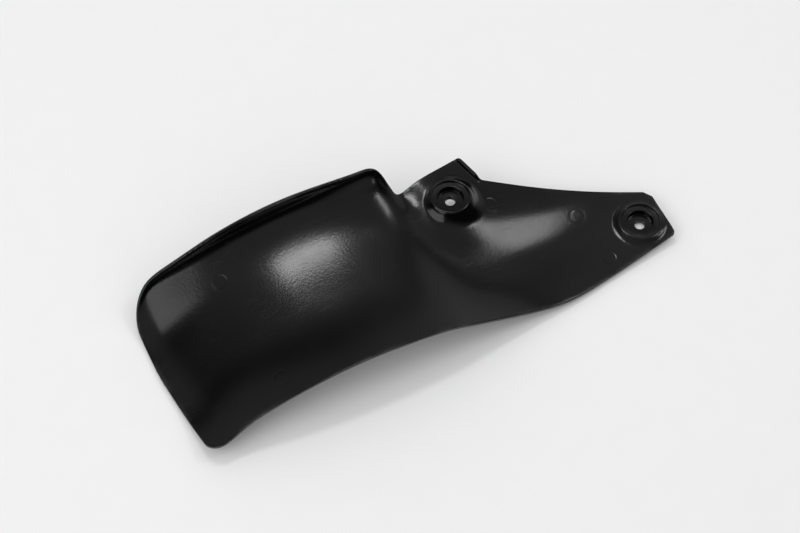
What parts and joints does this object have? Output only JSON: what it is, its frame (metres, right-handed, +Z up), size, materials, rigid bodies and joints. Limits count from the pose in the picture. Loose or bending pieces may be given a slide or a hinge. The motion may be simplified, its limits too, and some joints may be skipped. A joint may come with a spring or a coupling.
{
  "type": "motorcycle shock mud flap",
  "caption": "Curved plastic mud flap that shields a motorcycle's rear shock: an arched, dished sheet with a flange, a side tab and stepped screw cups.",
  "frame": {"origin": "centre of the bounding box in plan, on the surface the flap lies on", "axes": "+X along the flap from its lip to its tip, +Y across it towards the flange, +Z up along the screw cups"},
  "size_m": [0.3416, 0.128, 0.0492],
  "materials": {
    "black_plastic": "satin black moulded plastic with a fine grain, lightly scuffed"
  },
  "bodies": {
    "root": {"mud_flap": "black_plastic"}
  },
  "joints": []
}
